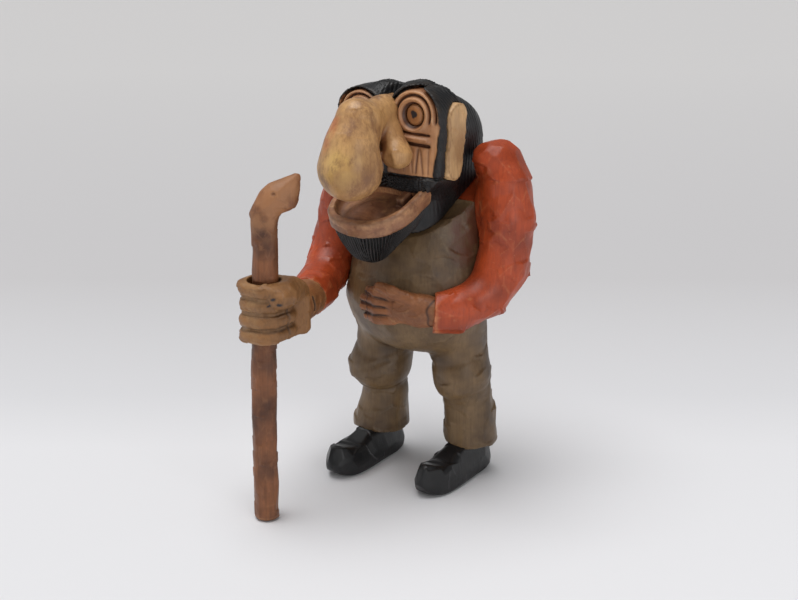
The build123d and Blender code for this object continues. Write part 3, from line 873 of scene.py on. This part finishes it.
class Tree:
    """Short calls for building one material's nodes."""

    def __init__(self, name):
        self.material = bpy.data.materials.new(name)
        self.material.use_nodes = True
        self.nodes = self.material.node_tree.nodes
        self.links = self.material.node_tree.links
        self.shader = self.nodes["Principled BSDF"]
        self.place = self.nodes.new("ShaderNodeTexCoord").outputs["Object"]

    def noise(self, scale, detail=4, stretch=(1, 1, 1), turn=(0, 0, 0), rough=0.55):
        mapping = self.nodes.new("ShaderNodeMapping")
        mapping.inputs["Scale"].default_value = stretch
        mapping.inputs["Rotation"].default_value = turn
        texture = self.nodes.new("ShaderNodeTexNoise")
        texture.inputs["Scale"].default_value = scale
        texture.inputs["Detail"].default_value = detail
        texture.inputs["Roughness"].default_value = rough
        self.links.new(self.place, mapping.inputs["Vector"])
        self.links.new(mapping.outputs["Vector"], texture.inputs["Vector"])
        return texture.outputs["Fac"]

    def mark(self, name):
        node = self.nodes.new("ShaderNodeAttribute")
        node.attribute_name = name
        return node.outputs["Fac"]

    def steps(self, value, low, high, out_low=0.0, out_high=1.0):
        node = self.nodes.new("ShaderNodeMapRange")
        node.inputs["From Min"].default_value = low
        node.inputs["From Max"].default_value = high
        node.inputs["To Min"].default_value = out_low
        node.inputs["To Max"].default_value = out_high
        self.links.new(value, node.inputs["Value"])
        return node.outputs["Result"]

    def math(self, kind, a, b):
        node = self.nodes.new("ShaderNodeMath")
        node.operation = kind
        for socket, value in zip(node.inputs, (a, b)):
            if isinstance(value, (int, float)):
                socket.default_value = value
            else:
                self.links.new(value, socket)
        return node.outputs[0]

    def mix(self, factor, a, b):
        node = self.nodes.new("ShaderNodeMix")
        node.data_type = "RGBA"
        self.links.new(factor, node.inputs["Factor"])
        for socket, value in ((node.inputs[6], a), (node.inputs[7], b)):
            if isinstance(value, tuple):
                socket.default_value = value
            else:
                self.links.new(value, socket)
        return node.outputs[2]

    def bump(self, height, strength, distance, below=None):
        node = self.nodes.new("ShaderNodeBump")
        node.inputs["Strength"].default_value = strength
        node.inputs["Distance"].default_value = distance
        self.links.new(height, node.inputs["Height"])
        if below is not None:
            self.links.new(below, node.inputs["Normal"])
        return node.outputs["Normal"]


def stained(tree, base, deep, worn, grain=(1, 1, 0.07), mottle=0.6, wear=0.5):
    """One stain on wood: mottled, with painted shade that darkens it in the hollows, rubbed to bare wood on
    the edges.
    """
    base, deep, worn = linear(*base), linear(*deep), linear(*worn)
    cloud = tree.noise(28, 5)
    fine = tree.noise(420, 4, grain)
    color = tree.mix(tree.steps(cloud, 0.35, 0.65, 0, mottle), base, deep)
    color = tree.mix(tree.steps(fine, 0.45, 0.75, 0, 0.35), color, deep)
    edges, broken = tree.steps(tree.mark("worn"), 0.12, 0.6), tree.steps(tree.noise(130, 5), 0.35, 0.6)
    rub = tree.math("MULTIPLY", edges, broken)
    color = tree.mix(tree.math("MULTIPLY", rub, wear), color, worn)
    scuff = tree.steps(tree.noise(75, 6, rough=0.7), 0.62, 0.72, 0, wear * 0.5)
    color = tree.mix(scuff, color, worn)
    # painted shade: the hollows take the deep colour
    shade = tree.steps(tree.mark("hollow"), 0.06, 0.55, 0, 0.85)
    return tree.mix(shade, color, deep)


def patchy(tree, mark, scale, detail, low, high):
    """A mark broken up by noise."""
    return tree.math("MULTIPLY", tree.mark(mark), tree.steps(tree.noise(scale, detail), low, high))


def finish_wood(tree, color, gloss=0.5, grain=(1, 1, 0.07), relief=0.35):
    """Connects the colour, the roughness and the grain's relief."""
    tree.links.new(color, tree.shader.inputs["Base Color"])
    patch = tree.steps(tree.noise(60, 4), 0.3, 0.7, gloss - 0.08, gloss + 0.12)
    tree.links.new(patch, tree.shader.inputs["Roughness"])
    lines = tree.bump(tree.noise(500, 5, grain), relief, 0.0006)
    tree.links.new(tree.bump(tree.noise(90, 4), relief * 0.6, 0.0012, lines), tree.shader.inputs["Normal"])
    return tree.material


def simple_wood(name, base, deep, worn, gloss=0.5, wear=0.5, mottle=0.6, grain=(1, 1, 0.07), relief=0.35):
    tree = Tree(name)
    color = stained(tree, base, deep, worn, grain, mottle, wear)
    return finish_wood(tree, color, gloss, grain, relief)


# Each stain: its colour, the deep colour that mottles it and is also painted into the hollows as shade, and
# the bare wood of its rubbed edges.
BLACK = ((14, 14, 17), (4, 4, 5), (70, 56, 44))
FACE = ((208, 154, 108), (128, 78, 46), (220, 178, 138))

orange = simple_wood("orange_stain", (186, 74, 30), (98, 30, 10), (214, 142, 92), 0.42, 0.7)
black = simple_wood("black_stain", *BLACK, gloss=0.36, wear=0.22, mottle=0.4)
mouth = simple_wood("mouth_wood", (166, 114, 82), (70, 38, 24), (196, 148, 104), 0.45, 0.8, 0.8, (0.2, 1, 1))
wrist_wood = simple_wood("wrist_wood", (150, 96, 55), (66, 38, 20), (188, 140, 92), grain=(0.15, 1, 1))
ear_wood = simple_wood("ear_wood", (216, 174, 124), (126, 84, 48), (212, 176, 130), 0.5, 0.4)
dowel_wood = simple_wood("dowel_wood", (200, 164, 118), (150, 108, 68), (214, 184, 140), 0.6, 0.3)

head_tree = Tree("head_paint")
skin = stained(head_tree, *FACE)
# painted shade in the carved lines of the face
skin = head_tree.mix(head_tree.steps(head_tree.mark("lines"), 0.15, 0.8, 0, 0.9), skin, linear(64, 34, 20))
hair = stained(head_tree, *BLACK, mottle=0.4, wear=0.3)
head_paint = finish_wood(head_tree, head_tree.mix(head_tree.mark("bare"), hair, skin), 0.45)

nose_tree = Tree("nose_wood")
nose_color = stained(nose_tree, (202, 156, 102), (110, 62, 32), (214, 176, 130), wear=0.35)
pale = patchy(nose_tree, "pale", 50, 5, 0.3, 0.6)
nose_color = nose_tree.mix(pale, nose_color, linear(206, 166, 98))
flush = patchy(nose_tree, "flush", 70, 6, 0.34, 0.56)
nose_color = nose_tree.mix(flush, nose_color, linear(180, 92, 52))
grime = nose_tree.steps(nose_tree.noise(38, 7, (1, 1, 0.5), rough=0.75), 0.5, 0.62, 0, 0.7)
nose_color = nose_tree.mix(grime, nose_color, linear(122, 82, 56))
nose_wood = finish_wood(nose_tree, nose_color, 0.4, relief=0.2)

eye_tree = Tree("eye_wood")
eye_color = stained(eye_tree, (204, 144, 90), (120, 70, 38), (214, 164, 112), wear=0.3)
eye_color = eye_tree.mix(eye_tree.mark("pupil"), eye_color, linear(34, 36, 44))
eye_wood = finish_wood(eye_tree, eye_color, 0.4)

body_tree = Tree("body_paint")
body_color = stained(body_tree, (124, 98, 66), (62, 44, 28), (158, 134, 100), mottle=0.8, wear=0.4)
body_rub = patchy(body_tree, "rub", 60, 5, 0.3, 0.5)
body_paint = finish_wood(body_tree, body_tree.mix(body_rub, body_color, linear(90, 54, 36)), 0.42)

hand_tree = Tree("hand_wood")
hand_color = stained(hand_tree, (164, 104, 62), (84, 46, 26), (196, 148, 100), (0.15, 1, 1))
# painted shade in the cuts between the fingers, across the knuckles and round the wrist
hand_color = hand_tree.mix(hand_tree.mark("lines"), hand_color, linear(44, 24, 16))
hand_wood = finish_wood(hand_tree, hand_color, 0.5)

stick_tree = Tree("stick_wood")
stick_color = stained(stick_tree, (140, 86, 50), (58, 30, 18), (176, 124, 84), (1, 1, 0.04), 0.8, 0.7)
bare_crook = patchy(stick_tree, "top", 45, 6, 0.4, 0.56)
stick_color = stick_tree.mix(bare_crook, stick_color, linear(178, 126, 84))
stick_wood = finish_wood(stick_tree, stick_color, 0.5, (1, 1, 0.04), 0.7)

fist_tree = Tree("fist_paint")
fist_color = stained(fist_tree, (150, 104, 60), (64, 42, 24), (178, 140, 94), (0.5, 1, 0.4), 0.35)
fist_color = fist_tree.mix(fist_tree.mark("ink"), fist_color, linear(24, 26, 36))
fist_paint = finish_wood(fist_tree, fist_color, 0.5, (0.5, 1, 0.4))

# ---------------------------------------------------------------- build the pieces
CLOG_PLACES = {"right_clog": (-50.5, -22), "left_clog": (53.5, -2)}

carve("body", "body_block", body_block, body_paint, COARSE, (17, 0.6, 3), {"rub": armpit_rub})
carve("shirt", "shirt_back", shirt_back, orange, COARSE, (18, 1.0, 4))
carve("sleeve_left", "left_arm", left_sleeve, orange, COARSE, (17, 0.8, 5))
carve("sleeve_right", "right_arm", right_sleeve, orange, COARSE, (16, 0.7, 6))

head_marks = {"bare": bare_face, "lines": face_line_shade}
carve("head", "head_block", head_block, head_paint, FINE, marks=head_marks)
nose_marks = {"flush": nose_flush, "pale": nose_pale}
carve("nose", "nose_block", nose_block, nose_wood, FINE, (11, 0.25, 7), nose_marks)
carve("jaw", "jaw_block", jaw_block, mouth, FINE, (9, 0.3, 8))
carve("beard", "beard_block", beard_block, black, HAIR)
for side, name in ((-1, "right"), (1, "left")):
    carve(f"ear_{name}", f"{name}_ear", ear_of(side), ear_wood, FINE, (12, 0.5, 9))
    pupil = {"pupil": pupil_of(side)}
    carve(f"eye_{name}", f"{name}_eye", eye_of(side), eye_wood, HAIR, marks=pupil)
    x0, y0 = CLOG_PLACES[f"{name}_clog"]
    facets = (17, 0.75, 10 + side)
    flat_sole = {"facet": lift_from_floor}
    carve(f"clog_{name}", f"{name}_clog", clog_at(x0, y0), black, FINE, facets, flat_sole)

carve("hand_left", "left_hand", left_hand, hand_wood, HAIR, (7, 0.4, 12), {"lines": hand_cut_shade})
carve("hand_right", "right_hand", right_hand, fist_paint, FINE, (8, 0.5, 13), {"ink": thumb_ink})
carve("wrist", "wrist_tenon", wrist, wrist_wood, FINE, (10, 0.5, 14))
stick_marks = {"facet": lift_from_floor, "top": crook_top}
carve("stick", "cane", cane, stick_wood, FINE, (12, 0.5, 15), stick_marks, body="stick")

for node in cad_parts:
    if node.endswith(("dowels", "dowel")):
        shown = bpy.data.objects[node]
        shown.data.materials.clear()
        shown.data.materials.append(dowel_wood)

# ---------------------------------------------------------------- floor and backdrop
FLOOR_HALF = 9.0
# The paper's colours from the front backwards; the fold and back tones are painted shade, darker as the fold
# and wall of a curved backdrop would lie in less light.
FLOOR_FRONT, FLOOR_FOLD_SHADE = (0.78, 0.78, 0.80, 1), (0.70, 0.70, 0.72, 1)
FLOOR_BACK_SHADE, FLOOR_FAR = (0.60, 0.59, 0.60, 1), (0.66, 0.65, 0.65, 1)
AZIMUTH, ELEVATION, DISTANCE = math.radians(37), math.radians(18), 1.4
TARGET = (FEET + [-13.1, -9.9, 190.3]) * MM
away = np.array([-math.sin(AZIMUTH), math.cos(AZIMUTH), 0])


def paper_floor():
    """A wide sheet of pale paper; a little way behind the figure it is painted darker, as painted shade for
    the fold and rising wall of a curved backdrop, and a little lighter again far off.
    """
    mesh = bpy.data.meshes.new("floor")
    corners = [(x * FLOOR_HALF, y * FLOOR_HALF, 0) for x, y in ((-1, -1), (1, -1), (1, 1), (-1, 1))]
    mesh.from_pydata(corners, [], [(0, 1, 2, 3)])
    paper = bpy.data.objects.new("floor", mesh)
    bpy.context.collection.objects.link(paper)
    tree = Tree("paper")
    split = tree.nodes.new("ShaderNodeSeparateXYZ")
    tree.links.new(tree.place, split.inputs["Vector"])
    along_x = tree.math("MULTIPLY", split.outputs["X"], float(away[0]))
    along_y = tree.math("MULTIPLY", split.outputs["Y"], float(away[1]))
    back = tree.math("ADD", along_x, along_y)
    # painted shade: darker behind the figure, as on a backdrop's fold and wall
    color = tree.mix(tree.steps(back, 0.10, 0.26), FLOOR_FRONT, FLOOR_FOLD_SHADE)
    color = tree.mix(tree.steps(back, 0.26, 0.75), color, FLOOR_BACK_SHADE)
    color = tree.mix(tree.steps(back, 1.0, 3.0), color, FLOOR_FAR)
    tree.links.new(color, tree.shader.inputs["Base Color"])
    tree.shader.inputs["Roughness"].default_value = 0.8
    mesh.materials.append(tree.material)


paper_floor()


def put_lamp(data, place, aim):
    lamp = bpy.data.objects.new(data.name, data)
    bpy.context.collection.objects.link(lamp)
    lamp.location = place
    direction = np.array(aim) - np.array(place)
    lamp.rotation_euler = mathutils.Vector(direction).to_track_quat("-Z", "Y").to_euler()


def overcast(place, aim, spread, strength):
    """A soft light from above, even over the whole floor."""
    data = bpy.data.lights.new("top", "SUN")
    data.angle = math.radians(spread)
    data.energy = strength
    put_lamp(data, place, aim)


def softbox(name, place, aim, size, power):
    data = bpy.data.lights.new(name, "AREA")
    data.shape = "RECTANGLE"
    data.size, data.size_y = size
    data.energy = power
    put_lamp(data, place, aim)


overcast((-0.2, -0.2, 1.7), (0, 0, 0.15), 48, 2.3)
softbox("left", (-1.3, -1.3, 1.0), (0, 0, 0.2), (1.0, 1.0), 2.5)
softbox("right", (1.6, -0.8, 0.9), (0, 0, 0.2), (1.0, 1.0), 6)

world = bpy.data.worlds.new("studio")
bpy.context.scene.world = world
world.use_nodes = True
sky = world.node_tree.nodes
direction = sky.new("ShaderNodeTexCoord")
height = sky.new("ShaderNodeSeparateXYZ")
fade = sky.new("ShaderNodeMapRange")
fade.inputs["From Min"].default_value = 0.02
fade.inputs["From Max"].default_value = 0.45
fade.inputs["To Min"].default_value = 0.62
fade.inputs["To Max"].default_value = 0.20
world.node_tree.links.new(direction.outputs["Generated"], height.inputs["Vector"])
world.node_tree.links.new(height.outputs["Z"], fade.inputs["Value"])
world.node_tree.links.new(fade.outputs["Result"], sky["Background"].inputs["Strength"])
sky["Background"].inputs["Color"].default_value = (1, 1, 1, 1)
bpy.context.scene.view_settings.view_transform = "Standard"

# ---------------------------------------------------------------- camera
camera_data = bpy.data.cameras.new("camera")
camera = bpy.data.objects.new("camera", camera_data)
bpy.context.collection.objects.link(camera)
camera_data.lens = 60
camera_data.sensor_width = 36
toward = -away * math.cos(ELEVATION) + np.array([0, 0, math.sin(ELEVATION)])
camera.location = TARGET + DISTANCE * toward
camera.rotation_euler = (math.pi / 2 - ELEVATION, 0, AZIMUTH)
bpy.context.scene.camera = camera
